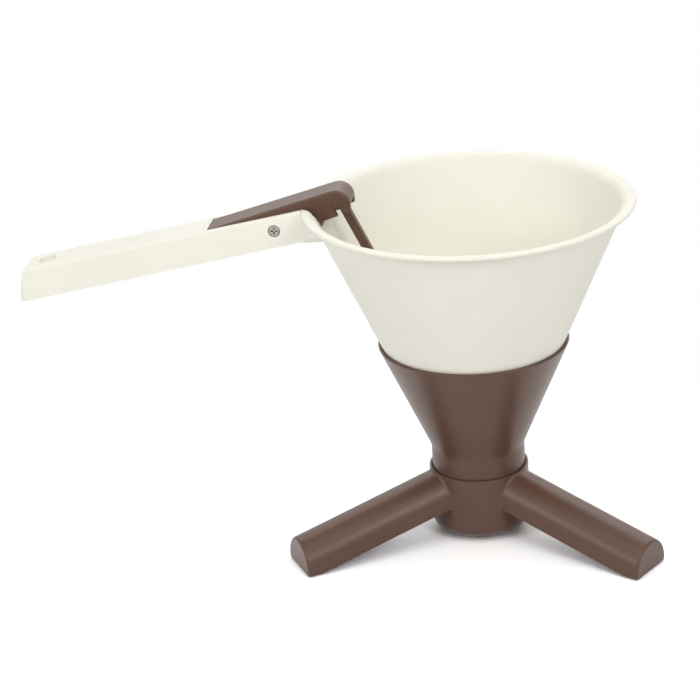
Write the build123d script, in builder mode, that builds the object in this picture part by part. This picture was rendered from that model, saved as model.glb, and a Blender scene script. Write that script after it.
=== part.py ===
from build123d import *
import math
import os

# Confectionery funnel with a stopper lever, standing in its tripod stand.
# Millimetres, +Z up. The origin is on the table, under the funnel's axis. The handle points along -X.

# Stand: a cup with three sloping legs of arched section, hollow underneath
LEG_COUNT = 3
LEG_REACH = 99.0
LEG_END_HEIGHT = 2.5
LEG_RADIUS = 13.1
LEG_SIDE = 3.3
LEG_SOLE_ROUND = 2.0
LEG_EDGE = 1.3
LEG_ROOT_ROUND = 1.5
LEG_CREST_DROP = 0.2
LEG_WALL = 2.2
FOOT_LENGTH = 10.0
LEG_TURN = 90.0
HUB_TOP = 34.9
HUB_BOTTOM = 2.7
HUB_WALL = 1.3
HUB_LIP_EDGE = 0.4
HUB_BASE_ROUND = 6.5
HUB_FLOOR = 2.5
SOCKET_DEPTH = 17.0
SOCKET_LEDGE = 2.6
NECK_CLEARANCE = 0.2
SEAT_GAP = 0.1

# Nozzle: a conical sleeve, a round neck and an outlet tube under a dished seat
NECK_RADIUS = 23.1
NECK_TOP = 46.6
NECK_ROUND = 10.0
NOZZLE_WALL = 1.8
SLEEVE_HEIGHT = 54.6
SLEEVE_GAP = 0.2
SLEEVE_EDGE = 0.5
CONE_ANGLE = 23.6
OUTLET_RADIUS = 6.0
OUTLET_WALL = 1.8
OUTLET_TOP_DROP = 11.5
OUTLET_PROTRUSION = 6.0
DISH_ANGLE = 45.0
DISH_WALL = 2.0

# Bayonet between nozzle and funnel, and the gasket at the funnel's lower end
LUG_COUNT = 3
LUG_ARC = 10.0
LUG_HEIGHT = 2.0
LUG_RISE = 2.2
LUG_DEPTH = 0.8
LUG_CLEARANCE = 0.3
TWIST = 30.0
SEAL_HEIGHT = 1.2
SEAL_CLEARANCE = 0.2

# Funnel bowl
BOWL_HEIGHT = 125.4
BOWL_END_RISE = 15.4
BOWL_WALL = 2.0
LIP_WIDTH = 4.05
LIP_THICKNESS = 1.8
LIP_EDGE = 0.8
LIP_ROOT_ROUND = 3.4
RIM_ROUND = 5.5

# Handle: a channel, open underneath, that slopes down from the rim
HANDLE_REACH = 144.4
HANDLE_START = 1.4
HANDLE_SLOPE = 11.5
HANDLE_WIDTH = 21.4
HANDLE_WALL = 1.9
HANDLE_DECK = 2.0
HANDLE_ROOT_HEIGHT = 15.6
HANDLE_END_HEIGHT = 16.9
HANDLE_END_RAKE = 3.6
HANDLE_CORNER = 5.0
HANDLE_EDGE = 1.4
HANDLE_ROOT_ROUND = 1.0
GUSSET_ARC = 33.0
GUSSET_INSET = 0.03
SLOT_FLARE_START = 6.0
SLOT_FLARE_RADIUS = 9.0
SLOT_FLARE_ARC = 75.0
HANG_HOLE_RADIUS = 4.5
HANG_HOLE_INSET = 10.2
HANG_COLLAR_WALL = 1.8
HANG_COLLAR_DROP = 2.5
RIB_COUNT = 3
RIB_THICKNESS = 1.6
RIB_RECESS = 4.0
SPRING_BAR_WIDTH = 3.0
SPRING_BAR_HEIGHT = 2.6
SPRING_BAR_RISE = 0.4

# Lever and its pivot
PIVOT_REACH = 17.0
PIVOT_DEPTH = 7.2
PIVOT_CLEARANCE = 0.06
BARREL_RADIUS = 2.0
BARREL_WALL = 0.5
PIVOT_HEAD_RADIUS = 2.7
PIVOT_HEAD_HEIGHT = 0.9
PIVOT_HEAD_SUNK = 0.4
PIVOT_HEAD_EDGE = 0.3
PIVOT_HEAD_CLEARANCE = 0.35
THREAD_CLEARANCE = 0.05
THREAD_LENGTH = 10.0
RECESS_WIDTH = 0.9
RECESS_LENGTH = 3.4
RECESS_DEPTH = 0.6
LEVER_REACH = 50.0
LEVER_PROUD = -0.2
LEVER_TILT = 16.8
LEVER_SIDE_CLEARANCE = 0.3
LEVER_END_CLEARANCE = 0.4
LEVER_PLATE = 2.2
LEVER_CHEEK = 2.2
LEVER_REAR_DEPTH = 3.5
LEVER_REAR_WALL = 1.8
CHEEK_DEPTH = 12.7
CHEEK_EDGE = 1.2
NOSE_RADIUS = 7.1
NOSE_INSET = 13.4
PRONG_DROP = 3.2
BOSS_RADIUS = 5.5
NOTCH_CLEARANCE = 1.0

# Stopper rod and plug
TRUNNION_RADIUS = 2.0
TRUNNION_CLEARANCE = 0.08
TRUNNION_SNAP = 0.3
TRUNNION_INSET = 0.2
EYE_RADIUS = 3.3
EYE_SIDE_CLEARANCE = 0.3
ROD_WIDTH = 4.3
ROD_THICKNESS = 4.2
ROD_EDGE = 0.6
PLUG_RADIUS = 10.0
PLUG_SEAT_GAP = 0.2
PLUG_TOP = 6.5
FLANGE_RADIUS = 5.0
FLANGE_THICKNESS = 2.0
PEG_RADIUS = 2.2
PEG_DEPTH = 3.0
PEG_CLEARANCE = 0.05

# Torsion spring round the pivot
WIRE_RADIUS = 0.5
COIL_RADIUS = 3.4
COIL_PITCH = 1.6
COIL_TURNS = 3
SPRING_LEG = 19.0
SPRING_LEG_GAP = 0.3

# Heights and radii that follow from the sizes above
rim_z = NECK_TOP + BOWL_HEIGHT
bowl_end_z = NECK_TOP + BOWL_END_RISE
sleeve_top_z = NECK_TOP + SLEEVE_HEIGHT
outlet_top_z = NECK_TOP - OUTLET_TOP_DROP
ledge_z = HUB_TOP - SOCKET_DEPTH
neck_bottom_z = ledge_z + SEAT_GAP
outlet_bottom_z = neck_bottom_z - OUTLET_PROTRUSION
seal_bottom_z = bowl_end_z - SEAT_GAP - SEAL_HEIGHT
socket_radius = NECK_RADIUS + NECK_CLEARANCE
hub_radius = socket_radius + HUB_WALL
cone_rise = math.tan(math.radians(CONE_ANGLE))
dish_rise = math.tan(math.radians(DISH_ANGLE))


def nozzle_outer(z):
    """Outer radius of the nozzle's cone at this height."""
    return NECK_RADIUS + cone_rise * (z - NECK_TOP)


def sleeve_inner(z):
    """Inner radius of the nozzle's sleeve at this height."""
    return nozzle_outer(z) - NOZZLE_WALL


def bowl_outer(z):
    """Outer radius of the funnel's cone at this height."""
    return sleeve_inner(z) - SLEEVE_GAP


def bowl_inner(z):
    """Inner radius of the funnel's cone at this height."""
    return bowl_outer(z) - BOWL_WALL


rim_radius = bowl_outer(rim_z)
lip_radius = rim_radius + LIP_WIDTH

# Handle lines, at a distance from the axis
handle_fall = math.tan(math.radians(HANDLE_SLOPE))
handle_end = rim_radius + HANDLE_REACH
handle_taper = (HANDLE_END_HEIGHT - HANDLE_ROOT_HEIGHT) / HANDLE_REACH
channel_width = HANDLE_WIDTH - 2 * HANDLE_WALL


def handle_top(reach):
    """Height of the handle's top face."""
    return rim_z - handle_fall * (reach - rim_radius - HANDLE_START)


def handle_bottom(reach):
    """Height of the handle's lower edges."""
    return handle_top(reach) - HANDLE_ROOT_HEIGHT - handle_taper * (reach - rim_radius)


def deck_under(reach):
    """Height of the underside of the handle's top wall."""
    return handle_top(reach) - HANDLE_DECK


# Lever: distances along its top face from the rear edge, depths square to that face
pivot_reach = rim_radius + PIVOT_REACH
pivot_x = -pivot_reach
pivot_z = handle_top(pivot_reach) - PIVOT_DEPTH
lever_rear = rim_radius + LEVER_REACH
lever_cos = math.cos(math.radians(LEVER_TILT))
lever_sin = math.sin(math.radians(LEVER_TILT))
lever_width = channel_width - 2 * LEVER_SIDE_CLEARANCE
fork_gap = lever_width - 2 * LEVER_CHEEK


def lever_point(along, depth):
    """A point of the lever's side outline, as x and z."""
    x = -lever_rear + along * lever_cos + depth * lever_sin
    z = handle_top(lever_rear) + LEVER_PROUD + along * lever_sin - depth * lever_cos
    return (x, z)


def lever_along(reach, depth):
    """Distance along the lever to a point of this depth and distance from the axis."""
    return (lever_rear - reach - depth * lever_sin) / lever_cos


def lever_depth(x, z):
    """Depth of a point below the plane of the lever's top face."""
    return (x + lever_rear) * lever_sin - (z - handle_top(lever_rear) - LEVER_PROUD) * lever_cos


nose_reach = rim_radius - NOSE_INSET
nose_along = lever_along(nose_reach, NOSE_RADIUS)
nose_x, nose_z = lever_point(nose_along, NOSE_RADIUS)
notch_z = lever_point(lever_along(rim_radius, CHEEK_DEPTH), CHEEK_DEPTH)[1] - NOTCH_CLEARANCE

# Stopper: the rod's line runs from the plug's centre on the axis past the trunnion in the lever's nose
dish_apex_z = outlet_top_z - OUTLET_RADIUS / dish_rise
plug_z = dish_apex_z + (PLUG_RADIUS + PLUG_SEAT_GAP) / math.sin(math.radians(DISH_ANGLE))
eye_offset = EYE_RADIUS - ROD_WIDTH / 2
nose_distance = math.hypot(nose_x, nose_z - plug_z)
rod_angle = math.atan2(-nose_x, nose_z - plug_z) - math.asin(eye_offset / nose_distance)
rod_length = math.sqrt(nose_distance**2 - eye_offset**2)
rod_plane = Plane(
    origin=(0, 0, plug_z),
    x_dir=(math.cos(rod_angle), 0, math.sin(rod_angle)),
    z_dir=(0, -1, 0),
)
rod_axis = Axis((0, 0, plug_z), (-math.sin(rod_angle), 0, math.cos(rod_angle)))


def upright(azimuth):
    """Vertical plane through the funnel's axis, with its x outwards in this direction."""
    turn = math.radians(azimuth)
    return Plane(
        origin=(0, 0, 0),
        x_dir=(math.cos(turn), math.sin(turn), 0),
        z_dir=(math.sin(turn), -math.cos(turn), 0),
    )


def nearest(shapes, point):
    """The shape of a list that lies nearest to a point."""
    return shapes.sort_by_distance(point)[0]


# Stand: legs first, then the cup, then the hollows of both
leg_rise = (HUB_TOP - LEG_CREST_DROP - LEG_RADIUS - LEG_END_HEIGHT) / (LEG_REACH - hub_radius)
leg_stretch = math.hypot(1, leg_rise)
leg_length = (LEG_REACH - LEG_RADIUS) * leg_stretch
leg_hollow_length = (LEG_REACH - FOOT_LENGTH - hub_radius - LEG_WALL) * leg_stretch


def leg_plane(azimuth, inset):
    """Upright plane across a leg, this far in from its end, with its normal inwards."""
    turn = math.radians(azimuth)
    reach = LEG_REACH - inset
    return Plane(
        origin=(reach * math.cos(turn), reach * math.sin(turn), LEG_END_HEIGHT + leg_rise * inset),
        x_dir=(math.sin(turn), -math.cos(turn), 0),
        z_dir=(-math.cos(turn), -math.sin(turn), 0),
    )


def leg_way(azimuth):
    """Direction inwards and up along a leg."""
    turn = math.radians(azimuth)
    return (-math.cos(turn), -math.sin(turn), leg_rise)


leg_azimuths = [LEG_TURN + 360.0 / LEG_COUNT * step for step in range(LEG_COUNT)]
between_legs = LEG_TURN + 180.0 / LEG_COUNT

with BuildPart() as tripod_stand:
    for azimuth in leg_azimuths:
        with BuildSketch(leg_plane(azimuth, 0)) as leg_section:
            with BuildLine():
                Polyline((LEG_RADIUS, 0), (LEG_RADIUS, -LEG_SIDE), (-LEG_RADIUS, -LEG_SIDE), (-LEG_RADIUS, 0))
                ThreePointArc((-LEG_RADIUS, 0), (0, LEG_RADIUS), (LEG_RADIUS, 0))
            make_face()
        extrude(amount=leg_length, dir=leg_way(azimuth))
        # The foot: what lies below the table, or outside its rounded lower corners, is cut away
        with BuildSketch(leg_plane(azimuth, 0)) as foot_cut:
            with Locations((0, -LEG_END_HEIGHT)):
                Rectangle(2 * LEG_RADIUS, 2 * LEG_SIDE)
                RectangleRounded(
                    2 * LEG_RADIUS,
                    2 * LEG_RADIUS,
                    LEG_SOLE_ROUND,
                    align=(Align.CENTER, Align.MIN),
                    mode=Mode.SUBTRACT,
                )
        extrude(amount=LEG_REACH, mode=Mode.SUBTRACT)
        end_face = nearest(tripod_stand.faces(), leg_plane(azimuth, 0).origin)
        fillet(end_face.edges(), LEG_EDGE)
    with BuildSketch(upright(between_legs)) as cup_section:
        with Locations((0, HUB_BOTTOM)):
            Rectangle(hub_radius, HUB_TOP + LEG_RADIUS - HUB_BOTTOM, align=(Align.MIN, Align.MIN))
        fillet(nearest(cup_section.vertices(), (hub_radius, HUB_BOTTOM, 0)), HUB_BASE_ROUND)
    revolve(axis=Axis.Z)
    root_edges = tripod_stand.edges().filter_by(
        lambda edge: abs(math.hypot(edge.center().X, edge.center().Y) - hub_radius) < SEAT_GAP
        and HUB_BOTTOM + HUB_BASE_ROUND + SEAT_GAP < edge.center().Z < HUB_TOP
        and (edge.geom_type != GeomType.LINE or edge.length < LEG_RADIUS + LEG_SIDE)
    )
    fillet(root_edges, LEG_ROOT_ROUND)
    for azimuth in leg_azimuths:
        with BuildSketch(leg_plane(azimuth, FOOT_LENGTH)) as leg_hollow:
            Circle(LEG_RADIUS - LEG_WALL)
            Rectangle(2 * (LEG_RADIUS - LEG_WALL), 2 * LEG_SIDE, align=(Align.CENTER, Align.MAX))
        extrude(amount=leg_hollow_length, dir=leg_way(azimuth), mode=Mode.SUBTRACT)
    with BuildSketch(Plane.XZ) as cup_hollow:
        with BuildLine():
            Polyline(
                (0, HUB_BOTTOM + HUB_FLOOR),
                (socket_radius - SOCKET_LEDGE, HUB_BOTTOM + HUB_FLOOR),
                (socket_radius - SOCKET_LEDGE, ledge_z),
                (socket_radius, ledge_z),
                (socket_radius, HUB_TOP),
                (hub_radius + LEG_RADIUS, HUB_TOP),
                (hub_radius + LEG_RADIUS, HUB_TOP + LEG_RADIUS),
                (0, HUB_TOP + LEG_RADIUS),
                close=True,
            )
        make_face()
    revolve(axis=Axis.Z, mode=Mode.SUBTRACT)
    cup_lip = tripod_stand.edges().group_by(Axis.Z)[-1]
    fillet(cup_lip, HUB_LIP_EDGE)

# Nozzle: turned section, then the bayonet lugs inside its sleeve
dish_top_z = (bowl_inner(NECK_TOP) - cone_rise * NECK_TOP + dish_rise * dish_apex_z) / (dish_rise - cone_rise)
dish_drop = DISH_WALL / math.sin(math.radians(DISH_ANGLE)) / dish_rise
skirt_inner = NECK_RADIUS - NOZZLE_WALL
tube_outer = OUTLET_RADIUS + OUTLET_WALL


def dish_under(radius):
    """Height of the dish's underside at this radius."""
    return dish_apex_z - dish_drop + radius / dish_rise


with BuildPart() as nozzle_cone:
    with BuildSketch(Plane.XZ) as nozzle_section:
        with BuildLine():
            Polyline(
                (nozzle_outer(sleeve_top_z), sleeve_top_z),
                (NECK_RADIUS, NECK_TOP),
                (NECK_RADIUS, neck_bottom_z),
                (skirt_inner, neck_bottom_z),
                (skirt_inner, dish_under(skirt_inner)),
                (tube_outer, dish_under(tube_outer)),
                (tube_outer, outlet_bottom_z),
                (OUTLET_RADIUS, outlet_bottom_z),
                (OUTLET_RADIUS, outlet_top_z),
                (bowl_inner(dish_top_z), dish_top_z),
                (bowl_inner(seal_bottom_z), seal_bottom_z),
                (sleeve_inner(seal_bottom_z), seal_bottom_z),
                (sleeve_inner(sleeve_top_z), sleeve_top_z),
                close=True,
            )
        make_face()
        fillet(nearest(nozzle_section.vertices(), (nozzle_outer(sleeve_top_z), sleeve_top_z, 0)), SLEEVE_EDGE)
        fillet(nearest(nozzle_section.vertices(), (NECK_RADIUS, NECK_TOP, 0)), NECK_ROUND)
    revolve(axis=Axis.Z)
    lug_low_z = bowl_end_z + LUG_RISE
    lug_high_z = lug_low_z + LUG_HEIGHT
    for step in range(LUG_COUNT):
        with BuildSketch(upright(360.0 / LUG_COUNT * step - LUG_ARC / 2)) as lug_section:
            with BuildLine():
                Polyline(
                    (nozzle_outer(lug_low_z) - NOZZLE_WALL / 2, lug_low_z),
                    (bowl_outer(lug_low_z) - LUG_DEPTH, lug_low_z),
                    (bowl_outer(lug_high_z) - LUG_DEPTH, lug_high_z),
                    (nozzle_outer(lug_high_z) - NOZZLE_WALL / 2, lug_high_z),
                    close=True,
                )
            make_face()
        revolve(axis=Axis.Z, revolution_arc=LUG_ARC)

with BuildPart() as seal_ring:
    with BuildSketch(Plane.XZ) as seal_section:
        with BuildLine():
            Polyline(
                (bowl_inner(bowl_end_z) + SEAL_CLEARANCE, seal_bottom_z),
                (sleeve_inner(seal_bottom_z) - SEAL_CLEARANCE, seal_bottom_z),
                (sleeve_inner(seal_bottom_z) - SEAL_CLEARANCE, seal_bottom_z + SEAL_HEIGHT),
                (bowl_inner(bowl_end_z) + SEAL_CLEARANCE, seal_bottom_z + SEAL_HEIGHT),
                close=True,
            )
        make_face()
    revolve(axis=Axis.Z)

# Handle: its side outline, cut to its plan and front outlines, then hollowed from below
# On each side a gusset, which falls away along the lip, stiffens the handle's root from under the lip;
# the gussets go to the bowl, and the handle keeps the straight strip between them
handle_half = HANDLE_WIDTH / 2
handle_tip = handle_end + HANDLE_END_RAKE
root_half = handle_half + HANDLE_ROOT_ROUND
gusset_start = root_half + HANDLE_ROOT_ROUND
gusset_radius = lip_radius - GUSSET_INSET
gusset_half = gusset_radius * math.sin(math.radians(GUSSET_ARC))
gusset_top_z = rim_z - LIP_THICKNESS / 2
gusset_end_z = rim_z - LIP_THICKNESS
root_reach = bowl_inner(rim_z) * math.cos(math.radians(GUSSET_ARC)) - BOWL_WALL

with BuildPart() as handle_block:
    with BuildSketch(Plane.XZ) as handle_side:
        with BuildLine():
            Polyline(
                (-root_reach, rim_z),
                (-rim_radius - HANDLE_START, rim_z),
                (-handle_end, handle_top(handle_end)),
                (-handle_tip, handle_bottom(handle_end)),
                (-root_reach, handle_bottom(root_reach)),
                close=True,
            )
        make_face()
    extrude(amount=gusset_half, both=True)
    with BuildSketch(Plane.XY) as handle_plan:
        Circle(gusset_radius)
        Rectangle(handle_tip, HANDLE_WIDTH, align=(Align.MAX, Align.CENTER))
        root_corners = handle_plan.vertices().filter_by(
            lambda corner: -lip_radius < corner.X < 0 and abs(corner.Y) > handle_half / 2
        )
        fillet(root_corners, HANDLE_ROOT_ROUND)
        end_corners = handle_plan.vertices().group_by(Axis.X)[0]
        fillet(end_corners, HANDLE_CORNER)
    extrude(amount=2 * rim_z, mode=Mode.INTERSECT)
    with BuildSketch(Plane.YZ) as handle_front:
        with BuildLine():
            Polyline(
                (0, rim_z),
                (root_half, rim_z),
                (root_half, gusset_top_z),
                (gusset_half, gusset_top_z),
                (gusset_half, gusset_end_z),
                (root_half, handle_bottom(lip_radius)),
                (root_half, 0),
                (0, 0),
            )
            mirror(about=Plane.YZ)
        make_face()
    extrude(amount=-handle_tip, mode=Mode.INTERSECT)
    top_face = handle_block.faces().filter_by(
        lambda face: 0.5 < face.normal_at().Z < 0.9999 and face.geom_type == GeomType.PLANE
    )
    top_edges = top_face.edges().filter_by(lambda edge: edge.center().X < -lip_radius - 2 * HANDLE_ROOT_ROUND)
    fillet(top_edges, HANDLE_EDGE)
    with BuildSketch(Plane.XZ) as handle_channel:
        with BuildLine():
            Polyline(
                (-root_reach, deck_under(root_reach)),
                (-handle_end + HANDLE_WALL, deck_under(handle_end - HANDLE_WALL)),
                (-handle_end + HANDLE_WALL, handle_bottom(handle_end) - HANDLE_DECK),
                (-root_reach, handle_bottom(handle_end) - HANDLE_DECK),
                close=True,
            )
        make_face()
    extrude(amount=channel_width / 2, both=True, mode=Mode.SUBTRACT)

# Funnel: the bowl with its gussets, and the handle, which meets them on the bowl's outer face
slot_rear = lever_rear + LEVER_END_CLEARANCE
slot_flare_reach = rim_radius + SLOT_FLARE_START
slot_flare_turn = math.radians(SLOT_FLARE_ARC)
bowl_way = (math.sin(math.radians(CONE_ANGLE)), 0, -math.cos(math.radians(CONE_ANGLE)))
notch_length = (rim_z - notch_z) / math.cos(math.radians(CONE_ANGLE))
hang_reach = handle_end - HANG_HOLE_INSET
hang_plane = Plane(
    origin=(-hang_reach, 0, handle_top(hang_reach)),
    x_dir=(math.cos(math.radians(HANDLE_SLOPE)), 0, math.sin(math.radians(HANDLE_SLOPE))),
    z_dir=(-math.sin(math.radians(HANDLE_SLOPE)), 0, math.cos(math.radians(HANDLE_SLOPE))),
)
spring_bar_reach = pivot_reach + SPRING_LEG - SPRING_BAR_WIDTH
spring_bar_top_z = handle_bottom(spring_bar_reach) + SPRING_BAR_RISE + SPRING_BAR_HEIGHT
rib_first = slot_rear + RIB_THICKNESS
rib_step = (hang_reach - HANG_HOLE_RADIUS - HANG_COLLAR_WALL - rib_first) / RIB_COUNT
head_recess = PIVOT_HEAD_HEIGHT + PIVOT_HEAD_SUNK
groove_depth = LUG_DEPTH + LUG_CLEARANCE


def slot_flare_point(turn):
    """Point of the slot's flared wall after this much of its turn."""
    return (
        -slot_flare_reach + SLOT_FLARE_RADIUS * math.sin(turn),
        channel_width / 2 + SLOT_FLARE_RADIUS * (1 - math.cos(turn)),
    )


def slot_mouth():
    """Plan outline of the slot's mouth, whose walls flare out into the bowl."""
    mouth_end = slot_flare_point(slot_flare_turn)
    Line((-slot_rear, 0), (-slot_rear, channel_width / 2))
    Line((-slot_rear, channel_width / 2), slot_flare_point(0))
    ThreePointArc(slot_flare_point(0), slot_flare_point(slot_flare_turn / 2), mouth_end)
    Line(mouth_end, (-root_reach, mouth_end[1]))
    Line((-root_reach, mouth_end[1]), (-root_reach, 0))
    mirror(about=Plane.XZ)

with BuildPart() as bowl_blank:
    with BuildSketch(Plane.XZ) as bowl_outline:
        with BuildLine():
            Polyline(
                (0, bowl_end_z),
                (bowl_outer(bowl_end_z), bowl_end_z),
                (bowl_outer(rim_z - LIP_THICKNESS), rim_z - LIP_THICKNESS),
                (lip_radius, rim_z - LIP_THICKNESS),
                (lip_radius, rim_z),
                (0, rim_z),
                close=True,
            )
        make_face()
        lip_corners = bowl_outline.vertices().group_by(Axis.X)[-1]
        fillet(lip_corners, LIP_EDGE)
        lip_root = (bowl_outer(rim_z - LIP_THICKNESS), rim_z - LIP_THICKNESS, 0)
        fillet(nearest(bowl_outline.vertices(), lip_root), LIP_ROOT_ROUND)
    revolve(axis=Axis.Z)

with BuildPart() as root_gussets:
    add(handle_block.part)
    with BuildSketch(Plane.XY) as gusset_plan:
        Circle(lip_radius)
        Rectangle(2 * lip_radius, 2 * gusset_start, mode=Mode.SUBTRACT)
    extrude(amount=2 * rim_z, mode=Mode.INTERSECT)

with BuildPart() as funnel_bowl:
    add(bowl_blank.part)
    add(root_gussets.part)
    with BuildSketch(Plane.XZ) as bowl_hollow:
        with BuildLine():
            Polyline(
                (0, bowl_end_z),
                (bowl_inner(bowl_end_z), bowl_end_z),
                (bowl_inner(rim_z), rim_z),
                (0, rim_z),
                close=True,
            )
        make_face()
    revolve(axis=Axis.Z, mode=Mode.SUBTRACT)
    inner_edge = funnel_bowl.edges().group_by(Axis.Z)[-1].sort_by(SortBy.LENGTH)[0]
    fillet(inner_edge, RIM_ROUND)
    # Notch that the lever passes through
    with BuildSketch(Plane.XY.offset(rim_z)) as lever_notch:
        with BuildLine():
            slot_mouth()
        make_face()
    extrude(amount=notch_length, dir=bowl_way, mode=Mode.SUBTRACT)
    # Bayonet grooves: a way in from the lower end, then a way round to the lug's place
    groove_low_z = lug_low_z - LUG_CLEARANCE
    groove_high_z = lug_high_z + LUG_CLEARANCE
    clear_arc = math.degrees(LUG_CLEARANCE / bowl_inner(bowl_end_z))
    groove_width = LUG_ARC + 2 * clear_arc
    for step in range(LUG_COUNT):
        entry_azimuth = 360.0 / LUG_COUNT * step - LUG_ARC / 2 - TWIST - clear_arc
        for low_z, arc in ((bowl_end_z, groove_width), (groove_low_z, groove_width + TWIST)):
            with BuildSketch(upright(entry_azimuth)) as groove_section:
                with BuildLine():
                    Polyline(
                        (bowl_outer(low_z) - groove_depth, low_z),
                        (bowl_outer(low_z) + SLEEVE_GAP, low_z),
                        (bowl_outer(groove_high_z) + SLEEVE_GAP, groove_high_z),
                        (bowl_outer(groove_high_z) - groove_depth, groove_high_z),
                        close=True,
                    )
                make_face()
            revolve(axis=Axis.Z, revolution_arc=arc, mode=Mode.SUBTRACT)

with BuildPart() as funnel_handle:
    add(handle_block.part)
    with BuildSketch(Plane.XY) as handle_strip:
        Rectangle(handle_tip, 2 * gusset_start, align=(Align.MAX, Align.CENTER))
    extrude(amount=2 * rim_z, mode=Mode.INTERSECT)
    add(bowl_blank.part, mode=Mode.SUBTRACT)
    # Slot for the lever in the handle's top
    with BuildSketch(Plane.XZ) as lever_slot:
        with BuildLine():
            Polyline(
                (-root_reach, deck_under(slot_rear) - HANDLE_DECK),
                (-slot_rear, deck_under(slot_rear) - HANDLE_DECK),
                (-slot_rear, rim_z + HANDLE_DECK),
                (-root_reach, rim_z + HANDLE_DECK),
                close=True,
            )
        make_face()
    extrude(amount=channel_width / 2, both=True, mode=Mode.SUBTRACT)
    with BuildSketch(Plane.XY.offset(rim_z)) as slot_flare:
        with BuildLine():
            slot_mouth()
        make_face()
    extrude(amount=notch_length, dir=bowl_way, mode=Mode.SUBTRACT)
    # Cross bar that the spring's lower leg bears on, and stiffening ribs behind the slot
    with BuildSketch(Plane.XZ) as spring_bar:
        with Locations((-spring_bar_reach, spring_bar_top_z)):
            Rectangle(SPRING_BAR_WIDTH, SPRING_BAR_HEIGHT, align=(Align.CENTER, Align.MAX))
    extrude(amount=channel_width / 2, both=True)
    for step in range(RIB_COUNT):
        rib_reach = rib_first + rib_step * step
        with BuildSketch(Plane.XZ) as rib_side:
            with BuildLine():
                Polyline(
                    (-rib_reach, deck_under(rib_reach)),
                    (-rib_reach - RIB_THICKNESS, deck_under(rib_reach + RIB_THICKNESS)),
                    (-rib_reach - RIB_THICKNESS, handle_bottom(rib_reach + RIB_THICKNESS) + RIB_RECESS),
                    (-rib_reach, handle_bottom(rib_reach) + RIB_RECESS),
                    close=True,
                )
            make_face()
        extrude(amount=channel_width / 2, both=True)
    # Hang hole with its collar under the top wall
    with BuildSketch(hang_plane) as hang_collar:
        Circle(HANG_HOLE_RADIUS + HANG_COLLAR_WALL)
    extrude(amount=-HANDLE_DECK - HANG_COLLAR_DROP)
    with BuildSketch(hang_plane) as hang_hole:
        Circle(HANG_HOLE_RADIUS)
    extrude(amount=HANDLE_DECK + HANG_COLLAR_DROP, both=True, mode=Mode.SUBTRACT)
    # Pivot holes, with a shallow seat for the head on each side
    with BuildSketch(Plane.XZ) as pivot_hole:
        with Locations((pivot_x, pivot_z)):
            Circle(BARREL_RADIUS + PIVOT_CLEARANCE)
    extrude(amount=HANDLE_WIDTH, both=True, mode=Mode.SUBTRACT)
    for side in (1, -1):
        with BuildSketch(Plane.XZ.offset(side * handle_half)) as head_seat:
            with Locations((pivot_x, pivot_z)):
                Circle(PIVOT_HEAD_RADIUS + PIVOT_HEAD_CLEARANCE)
        extrude(amount=-side * head_recess, mode=Mode.SUBTRACT)

# Pivot: a screw from one side into a barrel nut from the other, which is the shaft that the lever turns on
seat_half = handle_half - head_recess
thread_radius = BARREL_RADIUS - BARREL_WALL

with BuildPart() as pivot_screw:
    with BuildSketch(Plane.XZ.offset(seat_half)) as screw_head:
        with Locations((pivot_x, pivot_z)):
            Circle(PIVOT_HEAD_RADIUS)
    extrude(amount=PIVOT_HEAD_HEIGHT)
    head_edge = pivot_screw.edges().group_by(Axis.Y)[0]
    fillet(head_edge, PIVOT_HEAD_EDGE)
    with BuildSketch(Plane.XZ.offset(seat_half)) as screw_thread:
        with Locations((pivot_x, pivot_z)):
            Circle(thread_radius - THREAD_CLEARANCE)
    extrude(amount=-THREAD_LENGTH)
    with BuildSketch(Plane.XZ.offset(seat_half + PIVOT_HEAD_HEIGHT)) as screw_recess:
        with Locations((pivot_x, pivot_z)):
            Rectangle(RECESS_LENGTH, RECESS_WIDTH)
            Rectangle(RECESS_WIDTH, RECESS_LENGTH)
    extrude(amount=-RECESS_DEPTH, mode=Mode.SUBTRACT)

with BuildPart() as pivot_barrel_nut:
    with BuildSketch(Plane.XZ.offset(-seat_half)) as nut_head:
        with Locations((pivot_x, pivot_z)):
            Circle(PIVOT_HEAD_RADIUS)
    extrude(amount=-PIVOT_HEAD_HEIGHT)
    nut_edge = pivot_barrel_nut.edges().group_by(Axis.Y)[-1]
    fillet(nut_edge, PIVOT_HEAD_EDGE)
    with BuildSketch(Plane.XZ.offset(-seat_half)) as barrel:
        with Locations((pivot_x, pivot_z)):
            Circle(BARREL_RADIUS)
    extrude(amount=2 * seat_half - THREAD_CLEARANCE)
    with BuildSketch(Plane.XZ.offset(seat_half)) as barrel_bore:
        with Locations((pivot_x, pivot_z)):
            Circle(thread_radius)
    extrude(amount=-THREAD_LENGTH - THREAD_CLEARANCE, mode=Mode.SUBTRACT)

# Lever: an inverted channel with a pivot boss, a rounded nose and slots for the rod's trunnions
cheek_front = lever_along(nose_reach, CHEEK_DEPTH)
cheek_back = lever_along(pivot_reach + BOSS_RADIUS, CHEEK_DEPTH)
nose_front_x = nose_x + NOSE_RADIUS
nose_arc_turn = math.radians((90 + LEVER_TILT) / 2)
nose_arc_middle = (
    nose_x + NOSE_RADIUS * math.cos(nose_arc_turn),
    nose_z + NOSE_RADIUS * math.sin(nose_arc_turn),
)
cavity_low_z = pivot_z - 2 * BOSS_RADIUS
slot_length = CHEEK_DEPTH + NOSE_RADIUS

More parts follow.
